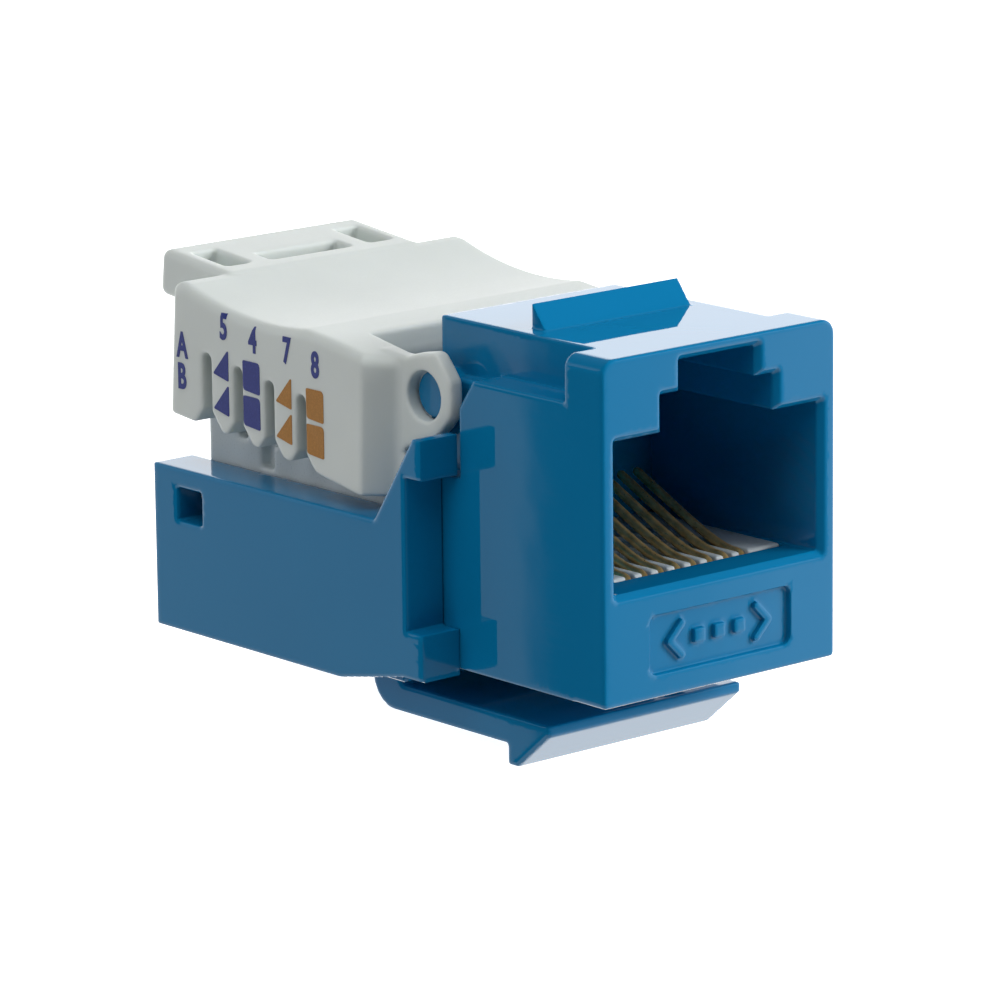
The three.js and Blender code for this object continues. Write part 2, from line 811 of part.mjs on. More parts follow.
function terminalGroup() {
  const group = new THREE.Group();
  SIDES.forEach((side, sideIndex) => {
    for (const row of ROWS) {
      const number = sideIndex * ROWS.length + row + 1;
      group.add(piece(`terminal_blade_${number}`, terminalBlade(side, row), tinPlate()));
    }
  });
  return group;
}

const jack = new THREE.Group();
jack.name = "keystone_jack";
jack.add(piece("front_housing", frontHousing(), bluePlastic()));
jack.add(piece("rear_shell", rearShell(), bluePlastic()));
jack.add(piece("latch_arm", latchArm(), bluePlastic()));
jack.add(piece("terminal_base", terminalBase(), whitePlastic()));
jack.add(piece("contact_carrier", contactCarrier(), whitePlastic()));
jack.add(piece("circuit_board", boardPlate(), solderMask()));
jack.add(capGroup());
jack.add(contactGroup());
jack.add(terminalGroup());
jack.position.y = -CATCH.rear;

export default jack;
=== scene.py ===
import json
import math

import bmesh
import bpy
import numpy as np
from mathutils import Matrix, Quaternion, Vector
from mathutils.bvhtree import BVHTree


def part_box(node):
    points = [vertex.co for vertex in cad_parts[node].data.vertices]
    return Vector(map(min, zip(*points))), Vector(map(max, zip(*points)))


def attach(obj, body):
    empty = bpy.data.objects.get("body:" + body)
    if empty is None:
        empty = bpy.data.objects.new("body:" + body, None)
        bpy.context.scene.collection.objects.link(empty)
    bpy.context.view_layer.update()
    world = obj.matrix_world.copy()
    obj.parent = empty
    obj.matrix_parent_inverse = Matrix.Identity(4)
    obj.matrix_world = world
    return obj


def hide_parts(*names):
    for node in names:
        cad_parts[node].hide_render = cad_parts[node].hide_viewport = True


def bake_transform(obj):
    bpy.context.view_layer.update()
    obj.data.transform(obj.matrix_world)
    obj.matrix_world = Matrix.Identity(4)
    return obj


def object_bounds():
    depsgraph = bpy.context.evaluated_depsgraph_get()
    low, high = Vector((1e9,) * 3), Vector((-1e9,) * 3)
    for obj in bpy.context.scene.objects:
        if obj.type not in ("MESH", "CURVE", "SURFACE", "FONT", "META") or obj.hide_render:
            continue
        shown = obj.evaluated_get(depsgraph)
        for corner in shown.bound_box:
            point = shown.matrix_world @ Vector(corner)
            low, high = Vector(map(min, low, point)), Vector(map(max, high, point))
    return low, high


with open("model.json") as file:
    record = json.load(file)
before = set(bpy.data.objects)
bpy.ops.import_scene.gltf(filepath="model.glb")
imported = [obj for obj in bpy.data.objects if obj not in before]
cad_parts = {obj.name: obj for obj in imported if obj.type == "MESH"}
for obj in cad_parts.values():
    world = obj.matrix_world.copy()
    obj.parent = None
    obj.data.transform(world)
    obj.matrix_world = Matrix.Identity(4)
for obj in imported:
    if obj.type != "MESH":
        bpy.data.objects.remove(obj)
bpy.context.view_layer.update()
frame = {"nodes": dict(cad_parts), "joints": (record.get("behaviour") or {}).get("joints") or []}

# ---------------------------------------------------------------------------
# Places and sizes. Every length is in millimetres. y is measured back from the
# front face and z up from the housing's underside, as FRAME_TO_MM says.
# ---------------------------------------------------------------------------

MM = 0.001
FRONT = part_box("front_housing")[0].y
MM_TO_FRAME = Matrix.Translation((0, FRONT, 0)) @ Matrix.Scale(MM, 4)
FRAME_TO_MM = MM_TO_FRAME.inverted()


def box_mm(node):
    low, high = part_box(node)
    return FRAME_TO_MM @ low, FRAME_TO_MM @ high


def joint(name):
    return next(j for j in frame["joints"] if j["name"] == name)


HOUSING = box_mm("front_housing")
SHELL = box_mm("rear_shell")
BASE = box_mm("terminal_base")
CARRIER = box_mm("contact_carrier")

FACE_HALF = HOUSING[1].x
HINGE = FRAME_TO_MM @ Vector(joint("cap_hinge")["pos_m"])
CAP_OPEN = math.radians(-joint("cap_hinge")["range_deg"][0])
ROWS = [sum(p.y for p in box_mm(f"terminal_blade_{i}")) / 2 for i in (1, 2, 3, 4)]
WIRES = [sum(p.x for p in box_mm(f"contact_leg_{i}")) / 2 for i in range(1, 9)]
LEG_Y = [box_mm(f"contact_leg_{i}")[1].y for i in range(1, 9)]


# ---------------------------------------------------------------------------
# Distance fields. A piece is a field that is negative inside it, sampled on a
# grid of points, and its skin is the surface where the field is zero.
# ---------------------------------------------------------------------------

MARGIN = 4  # grid steps kept free round a piece


class Grid:
    def __init__(self, low, high, step):
        self.step = step
        self.low = np.array(low, float) - MARGIN * step
        span = np.array(high, float) + MARGIN * step - self.low
        counts = np.ceil(span / step).astype(int) + 1
        axes = [self.low[k] + step * np.arange(counts[k]) for k in range(3)]
        self.x = axes[0][:, None, None]
        self.y = axes[1][None, :, None]
        self.z = axes[2][None, None, :]


def both(a, b, r=0.0):
    """Where a and b overlap, with an edge of radius r between them."""
    if r == 0:
        return np.maximum(a, b)
    corner = np.sqrt(np.maximum(a + r, 0) ** 2 + np.maximum(b + r, 0) ** 2)
    return np.minimum(np.maximum(a, b), -r) + corner


def either(a, b, r=0.0):
    """a joined to b, with a fillet of radius r between them."""
    return -both(-a, -b, r)


def without(a, b, r=0.0):
    return both(a, -b, r)


def slab(v, low, high):
    return np.abs(v - (low + high) / 2) - (high - low) / 2


def block(g, x, y, z, r=0.0):
    return both(both(slab(g.x, *x), slab(g.y, *y), r), slab(g.z, *z), r)


def mirrored(g):
    """The distance from the middle plane, so that one description makes both sides."""
    return np.abs(g.x)


def circle(u, v, cu, cv, radius):
    return np.sqrt((u - cu) ** 2 + (v - cv) ** 2) - radius


def outline(u, v, points):
    """Distance to a closed outline in the plane of two of the axes."""
    corners = np.array(points, float)
    nearest = np.full(np.broadcast_shapes(u.shape, v.shape), np.inf)
    inside = np.zeros(nearest.shape, bool)
    for (au, av), (bu, bv) in zip(corners, np.roll(corners, -1, axis=0)):
        eu, ev = bu - au, bv - av
        t = np.clip(((u - au) * eu + (v - av) * ev) / (eu * eu + ev * ev), 0, 1)
        nearest = np.minimum(nearest, (u - au - t * eu) ** 2 + (v - av - t * ev) ** 2)
        if av != bv:
            crossed = (av > v) != (bv > v)
            inside ^= crossed & (u < eu * (v - av) / ev + au)
    return np.where(inside, -1, 1) * np.sqrt(nearest)


def rounded(points, steps=5):
    """An outline whose corners (u, v, radius) are turned into arcs."""
    result = []
    for k, (u, v, radius) in enumerate(points):
        corner = Vector((u, v))
        before = (Vector(points[k - 1][:2]) - corner).normalized()
        after = (Vector(points[(k + 1) % len(points)][:2]) - corner).normalized()
        half = before.angle(after) / 2
        if radius == 0 or abs(half - math.pi / 2) < 1e-6:
            result.append((u, v))
            continue
        reach = radius / math.tan(half)
        centre = corner + (before + after).normalized() * radius / math.sin(half)
        start, end = corner + before * reach - centre, corner + after * reach - centre
        turn = start.angle_signed(end)
        for s in range(steps + 1):
            spoke = start.copy()
            spoke.rotate(Matrix.Rotation(-turn * s / steps, 2))
            result.append(tuple(centre + spoke))
    return result


def blurred(values, times):
    """The field with its edges and corners softened. Flat faces stay where they are."""
    for _ in range(times):
        for axis in range(3):
            values = (np.roll(values, 1, axis) + np.roll(values, -1, axis) + 2 * values) / 4
    return values


def skin(values, g):
    """Vertices and quads of the zero surface, one vertex in each cell it crosses."""
    offsets = [(i, j, k) for i in (0, 1) for j in (0, 1) for k in (0, 1)]
    nx, ny, nz = (n - 1 for n in values.shape)
    inside = values < 0
    count = sum(inside[i:i + nx, j:j + ny, k:k + nz].astype(np.int8) for i, j, k in offsets)
    cells = np.argwhere((count > 0) & (count < 8))
    corner = [values[tuple((cells + o).T)] for o in offsets]
    total = np.zeros((len(cells), 3))
    crossings = np.zeros(len(cells))
    for a in range(8):
        for b in range(a + 1, 8):
            step = np.subtract(offsets[b], offsets[a])
            if np.abs(step).sum() != 1:
                continue
            cut = (corner[a] < 0) != (corner[b] < 0)
            gap = np.where(cut, corner[a] - corner[b], 1)
            t = np.where(cut, corner[a] / gap, 0)
            total += cut[:, None] * (np.array(offsets[a]) + t[:, None] * step)
            crossings += cut
    vertices = g.low + (cells + total / crossings[:, None]) * g.step
    index = np.full((nx, ny, nz), -1)
    index[tuple(cells.T)] = np.arange(len(cells))
    quads = []
    for axis in range(3):
        u, v = (axis + 1) % 3, (axis + 2) % 3
        here = [slice(1, n - 1) for n in values.shape]
        there = list(here)
        here[axis], there[axis] = slice(0, values.shape[axis] - 1), slice(1, None)
        a, b = inside[tuple(here)], inside[tuple(there)]
        start = np.ones(3, int)
        start[axis] = 0
        for mask, order in ((a & ~b, (0, 1, 2, 3)), (~a & b, (3, 2, 1, 0))):
            at = np.argwhere(mask) + start
            ring = []
            for du, dv in ((-1, -1), (0, -1), (0, 0), (-1, 0)):
                cell = at.copy()
                cell[:, u] += du
                cell[:, v] += dv
                ring.append(index[tuple(cell.T)])
            quads.append(np.stack([ring[k] for k in order], axis=1))
    return vertices, np.concatenate(quads)


def mesh_from(name, vertices, quads):
    mesh = bpy.data.meshes.new(name)
    mesh.vertices.add(len(vertices))
    mesh.vertices.foreach_set("co", np.asarray(vertices, np.float32).ravel())
    mesh.loops.add(quads.size)
    mesh.loops.foreach_set("vertex_index", quads.astype(np.int32).ravel())
    mesh.polygons.add(len(quads))
    mesh.polygons.foreach_set("loop_start", np.arange(0, quads.size, 4, dtype=np.int32))
    mesh.update(calc_edges=True)
    mesh.validate()
    return mesh


def add_object(name, mesh, material):
    obj = bpy.data.objects.new(name, mesh)
    bpy.context.scene.collection.objects.link(obj)
    if material:
        mesh.materials.append(material)
    return obj


def apply_modifiers(obj):
    graph = bpy.context.evaluated_depsgraph_get()
    made = bpy.data.meshes.new_from_object(obj.evaluated_get(graph))
    old = obj.data
    obj.modifiers.clear()
    obj.data = made
    bpy.data.meshes.remove(old)


def moulded(name, values, g, material, blur=1, keep=0.3, crisp=None):
    """A moulded piece from its field. keep is the share of its faces left after thinning.

    crisp is the angle in degrees above which an edge is shaded as a sharp one.
    """
    vertices, quads = skin(blurred(values, blur), g)
    mesh = mesh_from(name, vertices, quads)
    mesh.transform(MM_TO_FRAME)
    obj = add_object(name, mesh, material)
    thin = obj.modifiers.new("thin", "DECIMATE")
    thin.ratio = keep
    apply_modifiers(obj)
    obj.data.shade_smooth()
    if crisp:
        obj.data.set_sharp_from_angle(angle=math.radians(crisp))
    even = obj.modifiers.new("even", "WEIGHTED_NORMAL")
    even.weight = 90
    even.keep_sharp = bool(crisp)
    apply_modifiers(obj)
    obj.data.name = name
    return obj


def solid_from(name, parts, material):
    """One object from (vertices, faces) pairs in millimetres."""
    bm = bmesh.new()
    for vertices, faces in parts:
        made = [bm.verts.new(v) for v in vertices]
        for face in faces:
            bm.faces.new([made[i] for i in face])
    bm.transform(MM_TO_FRAME)
    bmesh.ops.recalc_face_normals(bm, faces=bm.faces)
    mesh = bpy.data.meshes.new(name)
    bm.to_mesh(mesh)
    bm.free()
    return add_object(name, mesh, material)


# ---------------------------------------------------------------------------
# Materials
# ---------------------------------------------------------------------------


class Nodes:
    """A short way to add and join the nodes of one material."""

    def __init__(self, name):
        self.material = bpy.data.materials.new(name)
        self.material.use_nodes = True
        self.tree = self.material.node_tree
        self.surface = self.tree.nodes["Principled BSDF"]

    def add(self, kind, inputs=None, **settings):
        node = self.tree.nodes.new("ShaderNode" + kind)
        for key, value in settings.items():
            setattr(node, key, value)
        for key, value in (inputs or {}).items():
            self.put(node, key, value)
        return node

    def put(self, node, key, value):
        if isinstance(value, bpy.types.NodeSocket):
            self.tree.links.new(value, node.inputs[key])
        else:
            node.inputs[key].default_value = value

    def set(self, **inputs):
        for key, value in inputs.items():
            self.put(self.surface, "IOR" if key == "ior" else key.replace("_", " ").title(), value)

    def position(self):
        """The place in millimetres, carried by the piece itself."""
        place = self.add("TexCoord").outputs["Object"]
        return self.add("VectorMath", {0: place, 3: 1 / MM}, operation="SCALE").outputs[0]

    def noise(self, place, size, detail=3.0, rough=0.5):
        inputs = {"Vector": place, "Scale": 1 / size, "Detail": detail, "Roughness": rough}
        return self.add("TexNoise", inputs).outputs["Fac"]

    def remap(self, value, from_low, from_high, low, high):
        inputs = {0: value, 1: from_low, 2: from_high, 3: low, 4: high}
        return self.add("MapRange", inputs).outputs[0]

    def mix(self, factor, a, b):
        node = self.add("Mix", data_type="RGBA")
        for socket, value in ((0, factor), (6, a), (7, b)):
            self.put(node, socket, value)
        return node.outputs[2]

    def product(self, a, b):
        return self.add("Math", {0: a, 1: b}, operation="MULTIPLY").outputs[0]


def gloss_blue():
    n = Nodes("gloss_blue")
    place = n.position()
    cloud = n.noise(place, 9.0, 2.0)
    grain = n.noise(place, 0.35, 4.0, 0.6)
    deep, light = (0.0015, 0.158, 0.345, 1), (0.0025, 0.166, 0.358, 1)
    n.set(base_color=n.mix(n.remap(cloud, 0.3, 0.7, 0, 1), deep, light))
    streaks = n.add("Mapping", {"Vector": place, "Scale": (0.4, 0.4, 9.0)}).outputs[0]
    scratch = n.noise(streaks, 1.6, 6.0, 0.7)
    n.set(roughness=n.remap(scratch, 0.3, 0.8, 0.015, 0.04), ior=1.5)
    sink = n.noise(place, 4.0, 1.0)
    bump = n.add("Bump", {"Height": sink, "Strength": 1.0, "Distance": 0.004 * MM})
    inputs = {"Height": grain, "Strength": 0.03, "Distance": 0.004 * MM, "Normal": bump.outputs[0]}
    fine = n.add("Bump", inputs)
    n.put(n.surface, "Normal", fine.outputs[0])
    return n.material


def satin_white(name, tint, roughness, glow):
    n = Nodes(name)
    place = n.position()
    cloud = n.noise(place, 5.0, 3.0)
    grain = n.noise(place, 0.12, 3.0, 0.6)
    darker = tuple(c * 0.95 for c in tint)
    n.set(base_color=n.mix(n.remap(cloud, 0.3, 0.7, 0, 1), (*tint, 1), (*darker, 1)))
    n.set(roughness=n.product(n.remap(grain, 0.3, 0.7, 0.85, 1.15), roughness), ior=1.5)
    n.put(n.surface, "Subsurface Weight", glow)
    n.put(n.surface, "Subsurface Radius", (1.0, 0.95, 0.75))
    n.put(n.surface, "Subsurface Scale", 0.9 * MM)
    bump = n.add("Bump", {"Height": grain, "Strength": 0.12, "Distance": 0.01 * MM})
    n.put(n.surface, "Normal", bump.outputs[0])
    return n.material


def printed_ink(name, colour):
    n = Nodes(name)
    place = n.position()
    speckle = n.noise(place, 0.10, 4.0, 0.7)
    lighter = tuple(min(1.0, c * 1.35 + 0.012) for c in colour)
    n.set(base_color=n.mix(n.remap(speckle, 0.45, 0.75, 0, 1), (*colour, 1), (*lighter, 1)))
    n.set(roughness=n.remap(speckle, 0.3, 0.7, 0.34, 0.5))
    return n.material


def plated_metal(name, colour, dark, roughness, metal=1.0):
    n = Nodes(name)
    place = n.position()
    cloud = n.noise(place, 0.8, 4.0, 0.6)
    drawn = n.add("Mapping", {"Vector": place, "Scale": (9.0, 0.6, 9.0)}).outputs[0]
    streak = n.noise(drawn, 0.9, 4.0, 0.7)
    n.set(base_color=n.mix(n.remap(cloud, 0.35, 0.7, 0, 1), (*colour, 1), (*dark, 1)), metallic=metal)
    n.set(roughness=n.product(n.remap(streak, 0.3, 0.7, 0.8, 1.3), roughness))
    bump = n.add("Bump", {"Height": streak, "Strength": 0.03, "Distance": 0.01 * MM})
    n.put(n.surface, "Normal", bump.outputs[0])
    return n.material


def solder_mask():
    n = Nodes("solder_mask")
    place = n.position()
    cloud = n.noise(place, 1.4, 3.0)
    weave = n.add("TexWave", {"Vector": place, "Scale": 2.2, "Distortion": 0.4}).outputs["Fac"]
    n.set(base_color=n.mix(cloud, (0.006, 0.11, 0.035, 1), (0.012, 0.17, 0.055, 1)))
    n.set(roughness=n.remap(cloud, 0.3, 0.7, 0.24, 0.38))
    bump = n.add("Bump", {"Height": weave, "Strength": 0.15, "Distance": 0.02 * MM})
    n.put(n.surface, "Normal", bump.outputs[0])
    return n.material


BLUE = gloss_blue()
CAP_WHITE = satin_white("cap_white", (0.63, 0.675, 0.66), 0.40, 0.20)
BASE_WHITE = satin_white("base_white", (0.62, 0.68, 0.70), 0.30, 0.12)
BED_WHITE = satin_white("bed_white", (0.45, 0.50, 0.52), 0.35, 0.08)
NAVY_INK = printed_ink("navy_ink", (0.018, 0.030, 0.190))
OCHRE_INK = printed_ink("ochre_ink", (0.330, 0.145, 0.022))
GREEN_INK = printed_ink("green_ink", (0.020, 0.160, 0.045))
ORANGE_INK = printed_ink("orange_ink", (0.560, 0.150, 0.015))
GOLD = plated_metal("gold_plate", (0.80, 0.56, 0.23), (0.54, 0.36, 0.13), 0.32, 0.74)
TIN = plated_metal("tin_plate", (0.74, 0.74, 0.75), (0.58, 0.58, 0.60), 0.30)
MASK = solder_mask()


# ---------------------------------------------------------------------------
# Front housing
# ---------------------------------------------------------------------------

FACE = {"depth": 2.6, "height": 16.2, "top_radius": 0.75, "bottom_radius": 0.2, "edge": 0.14}
BODY = {
    "rear": 12.9, "shoulder": 13.95, "slope_start": 9.0, "slope_end": 10.02, "slope_foot": 12.5, "deck": 9.2,
}
BLOCK = {"half": 5.45, "rear": 13.3, "lug_rear": 14.0, "cheek_half": 6.2, "cheek_top": 13.6}
CATCH = {"half": 4.54, "front": 6.92, "rear": 7.88, "rise": 1.22}
PORT = {"floor": 5.2, "depth": 11.3, "draft": 5.95 / 6.35, "chamfer": 0.3}
PORT_STEPS = ((6.35, 12.33), (3.5, 14.1), (2.35, 15.57))
HOLLOW = {"half": 6.05, "front": 2.15, "floor": 1.0}
PANEL = {"half": 4.42, "low": 1.1, "high": 3.92, "depth": 0.3, "radius": 0.45}
GLYPH = {"proud": 0.27, "half_stroke": 0.19, "height": 1.5, "reach": 3.1, "dot": 0.34, "dot_gap": 1.25}
BOSS = {"radius": 1.1, "end": 6.85}
HOUSING_DETAIL = {"step": 0.08, "keep": 0.35}
CREASE = 34  # degrees between faces from which the blue mouldings show a sharp edge


def port_outline():
    corners = []
    low = PORT["floor"]
    for half, top in PORT_STEPS:
        corners += [(half, low), (half, top)]
        low = top
    return corners + [(-u, v) for u, v in reversed(corners)]


def glyph_field(g):
    """A generic connector sign, two chevrons with three dots between them, raised from the panel."""
    middle = (PANEL["low"] + PANEL["high"]) / 2
    half = GLYPH["height"] / 2
    x = mirrored(g)
    tip, foot = GLYPH["reach"], GLYPH["reach"] - half
    field = np.full(np.broadcast_shapes(x.shape, g.z.shape), np.inf)
    for end in (-half, half):
        du, dv = foot - tip, end
        t = np.clip(((x - tip) * du + (g.z - middle) * dv) / (du * du + dv * dv), 0, 1)
        arm = np.sqrt((x - tip - t * du) ** 2 + (g.z - middle - t * dv) ** 2)
        field = np.minimum(field, arm - GLYPH["half_stroke"])
    for place in (0, GLYPH["dot_gap"]):
        dot = both(slab(x, place - GLYPH["dot"], place + GLYPH["dot"]),
                   slab(g.z, middle - GLYPH["dot"], middle + GLYPH["dot"]), 0.08)
        field = np.minimum(field, dot)
    return both(field, slab(g.y, PANEL["depth"] - GLYPH["proud"], PANEL["depth"] + 0.3))


def frame_field(g):
    """The front frame: a plate with rounded corners and a rounded front edge."""
    half, high = FACE_HALF, FACE["height"]
    upper = both(slab(g.x, -half, half), slab(g.z, 0, high), FACE["top_radius"])
    lower = both(slab(g.x, -half, half), slab(g.z, 0, high / 2), FACE["bottom_radius"])
    face = both(np.minimum(upper, lower), -g.y, FACE["edge"])
    return both(face, g.y - FACE["depth"], 0.08)


def plug_field(g):
    """The stepped opening, a little narrower at its back, with a chamfer round its mouth."""
    reach = (-2.0, PORT["depth"])
    shrink = 1 + (PORT["draft"] - 1) * g.y / PORT["depth"]
    field = np.full((1, 1, 1), np.inf)
    low = PORT["floor"]
    for half, top in PORT_STEPS:
        side = mirrored(g) - half * shrink
        field = np.minimum(field, both(side, slab(g.z, low, top)))
        low = top - 0.5
    mouth = outline(g.x, g.z, port_outline())
    chamfer = both((mouth + g.y - PORT["chamfer"]) / math.sqrt(2), g.y - PORT["chamfer"] - 0.1)
    return np.minimum(both(field, slab(g.y, *reach)), chamfer)


def housing_field(g):
    half = FACE_HALF
    side = [
        (FACE["depth"] - 0.5, 0),
        (BODY["rear"], 0),
        (BODY["rear"], BODY["deck"]),
        (BODY["slope_end"], BODY["deck"]),
        (BODY["slope_end"], BODY["slope_foot"]),
        (BODY["slope_start"], BODY["shoulder"]),
        (FACE["depth"] - 0.5, BODY["shoulder"]),
    ]
    body = both(outline(g.y, g.z, side), slab(g.x, -half, half), 0.12)
    rear, wide = BLOCK["rear"], (-BLOCK["half"], BLOCK["half"])
    cheek_wide, cheek_high = (-BLOCK["cheek_half"], BLOCK["cheek_half"]), (4, BLOCK["cheek_top"])
    top_block = block(g, wide, (1.5, rear), (BODY["deck"], FACE["height"]), 0.1)
    cheeks = block(g, cheek_wide, (BODY["slope_start"], rear), cheek_high, 0.15)
    lug = block(g, wide, (rear - 1, BLOCK["lug_rear"]), (BODY["deck"], BLOCK["cheek_top"]), 0.15)
    pin = circle(g.y, g.z, HINGE.y, HINGE.z, BOSS["radius"])
    boss = both(pin, slab(g.x, -BOSS["end"], BOSS["end"]), 0.12)
    ridge = [
        (CATCH["front"], FACE["height"]),
        (CATCH["front"], FACE["height"] - 0.5),
        (CATCH["rear"], FACE["height"] - 0.5),
        (CATCH["rear"], FACE["height"] + CATCH["rise"]),
    ]
    catch = both(outline(g.y, g.z, ridge), slab(g.x, -CATCH["half"], CATCH["half"]))
    field = either(frame_field(g), body)
    for part in (top_block, cheeks, lug, boss, catch):
        field = either(field, part)
    return field


def front_housing():
    low = (-FACE_HALF, 0, 0)
    high = (FACE_HALF, BLOCK["lug_rear"], FACE["height"] + CATCH["rise"])
    g = Grid(low, high, HOUSING_DETAIL["step"])
    field = without(housing_field(g), plug_field(g))
    across = slab(g.x, -HOLLOW["half"], HOLLOW["half"])
    under = both(HOLLOW["front"] - g.y, slab(g.z, HOLLOW["floor"], PORT["floor"] + 0.1))
    field = without(field, both(across, under))
    across = slab(g.x, -PANEL["half"], PANEL["half"])
    recess = both(across, slab(g.z, PANEL["low"], PANEL["high"]), PANEL["radius"])
    field = without(field, both(recess, g.y - PANEL["depth"]))
    field = either(field, glyph_field(g))
    obj = moulded("housing_moulding", field, g, BLUE, blur=0, keep=HOUSING_DETAIL["keep"], crisp=CREASE)
    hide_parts("front_housing")
    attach(obj, "housing")


# ---------------------------------------------------------------------------
# Rear shell and latch
# ---------------------------------------------------------------------------

TROUGH = {
    "inner_front": 7.28, "inner": 7.1, "step": 14.2, "recess": 11.2, "ledge": 7.0, "floor_top": 0.5,
    "rear_wall_top": 5.0, "rear_wall": 0.8, "rail": 6.2, "rail_top": 1.9, "floor_front": 13.3, "edge": 0.12,
}
TABS = {
    "top": 11.3, "foot": 9.35, "crest": 10.63, "slope_foot": 13.48, "lower_top": 2.0, "lower_low": -0.25,
    "reach": 0.13,
}
KEEL = {"front": 11.6, "rear": 16.3, "level": -1.15}
WINDOW = {"front": 26.6, "rear": 28.5, "low": 4.37, "high": 6.05}
LATCH = {"half": 6.1, "root": 15.9, "root_rear": 18.0, "top": -2.05, "low": -3.42, "tip": 5.2}
HOOK = {"lip": -2.53, "apex_front": 7.45, "apex_rear": 8.14, "apex": -4.42}


def shell_field(g):
    x = mirrored(g)
    front, rear, outer = SHELL[0].y - TABS["reach"], SHELL[1].y, SHELL[1].x
    side = [
        (front, TABS["lower_low"]), (KEEL["front"], TABS["lower_low"]), (KEEL["rear"], KEEL["level"]),
        (rear, KEEL["level"]), (rear, TROUGH["ledge"]), (TABS["slope_foot"], TROUGH["ledge"]),
        (TABS["crest"], TABS["top"]), (front, TABS["top"]), (front, TABS["foot"]),
        (TROUGH["recess"], TABS["foot"]), (TROUGH["recess"], TABS["lower_top"]), (front, TABS["lower_top"]),
    ]
    profile = outline(g.y, g.z, side)
    inner = np.where(g.y > TROUGH["step"], TROUGH["inner"], TROUGH["inner_front"])
    wall = both(both(profile, x - outer, TROUGH["edge"]), inner - x)
    levels = slab(g.z, KEEL["level"], TROUGH["floor_top"])
    floor = both(both(x - 8, slab(g.y, TROUGH["floor_front"], rear), 0.1), levels, 0.1)
    back = both(both(x - 8, slab(g.y, rear - TROUGH["rear_wall"], rear), 0.1),
                slab(g.z, KEEL["level"], TROUGH["rear_wall_top"]), 0.1)
    rail = both(both(slab(x, TROUGH["rail"], 8), slab(g.y, TROUGH["floor_front"], rear)),
                slab(g.z, 0, TROUGH["rail_top"]))
    field = either(either(wall, floor), either(back, rail))
    window = both(slab(g.y, WINDOW["front"], WINDOW["rear"]), slab(g.z, WINDOW["low"], WINDOW["high"]), 0.08)
    return without(field, both(window, 6 - x), 0.06)


def rear_shell():
    low = (-SHELL[1].x, SHELL[0].y, KEEL["level"])
    high = (SHELL[1].x, SHELL[1].y, TABS["top"])
    g = Grid(low, high, 0.1)
    obj = moulded("shell_moulding", shell_field(g), g, BLUE, blur=0, keep=0.35, crisp=CREASE)
    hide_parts("rear_shell")
    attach(obj, "housing")


def latch():
    """Root, arm and hook in one piece."""
    profile = rounded([
        (LATCH["root"], KEEL["level"] + 0.3, 0),
        (LATCH["root"], LATCH["top"], 0.35),
        (LATCH["tip"], LATCH["top"], 0.1),
        (LATCH["tip"], HOOK["lip"], 0.1),
        (HOOK["apex_front"], HOOK["apex"], 0.12),
        (HOOK["apex_rear"], HOOK["apex"], 0.12),
        (HOOK["apex_rear"], LATCH["low"], 0.1),
        (LATCH["root_rear"], LATCH["low"], 1.6),
        (LATCH["root_rear"], KEEL["level"] + 0.3, 0),
    ])
    half = LATCH["half"]
    g = Grid((-half, LATCH["tip"], HOOK["apex"]), (half, LATCH["root_rear"], KEEL["level"] + 0.3), 0.1)
    field = both(outline(g.y, g.z, profile), slab(g.x, -half, half), 0.12)
    obj = moulded("latch_moulding", field, g, BLUE, blur=0, keep=0.35, crisp=CREASE)
    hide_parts("latch_arm")
    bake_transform(obj)


# ---------------------------------------------------------------------------
# Terminal base and contact carrier
# ---------------------------------------------------------------------------

SEAT = {"half": 0.32, "reach": 0.9, "gate_half": 0.4, "gate_floor": 8.4}
CHANNEL = {"half": 3.4, "floor": 6.4}
STEP = {"rear": 17.4, "top": 8.2, "relief": 6.1, "relief_rear": 15.7}
SNAP = {"gap": 0.12, "reach": 8.3, "crest": 5.25}
SIDE_SLOT = {"depth": 0.7, "low": 7.2, "width": 0.95}
BASE_HALF = 6.95


def base_field(g):
    x = mirrored(g)
    half, front, rear = BASE_HALF, BASE[0].y, BASE[1].y
    low, top = BASE[0].z, BASE[1].z
    field = block(g, (-half, half), (front, rear), (low, top), 0.18)
    channel = both(both(x - CHANNEL["half"], STEP["relief_rear"] - g.y), CHANNEL["floor"] - g.z, 0.3)
    field = without(field, channel, 0.12)
    field = without(field, both(g.y - STEP["rear"], STEP["top"] - g.z), 0.1)
    field = without(field, both(STEP["relief"] - x, g.y - STEP["relief_rear"]), 0.1)
    for row, y in enumerate(ROWS):
        blade = box_mm(f"terminal_blade_{row + 1}")
        middle = abs(blade[0].x + blade[1].x) / 2
        seat_along = slab(g.y, y - SEAT["reach"], y + SEAT["reach"])
        seat = both(slab(x, middle - SEAT["half"], middle + SEAT["half"]), seat_along)
        gate = both(slab(g.y, y - SEAT["gate_half"], y + SEAT["gate_half"]), SEAT["gate_floor"] - g.z)
        field = without(field, seat, 0.05)
        field = without(field, both(gate, CHANNEL["half"] - 1 - x), 0.08)
    slot = both(slab(g.y, ROWS[2], ROWS[2] + SIDE_SLOT["width"]), SIDE_SLOT["low"] - g.z)
    field = without(field, both(slot, half - SIDE_SLOT["depth"] - x), 0.06)
    low_edge, high_edge = WINDOW["low"] + SNAP["gap"], WINDOW["high"] - SNAP["gap"]
    ramp = [(half - 0.5, low_edge), (half, low_edge), (SNAP["reach"], SNAP["crest"]),
            (SNAP["reach"], high_edge), (half - 0.5, high_edge)]
    along = slab(g.y, WINDOW["front"] + SNAP["gap"], WINDOW["rear"] - SNAP["gap"])
    snap = both(outline(x, g.z, ramp), along, 0.1)
    return either(field, snap, 0.05)


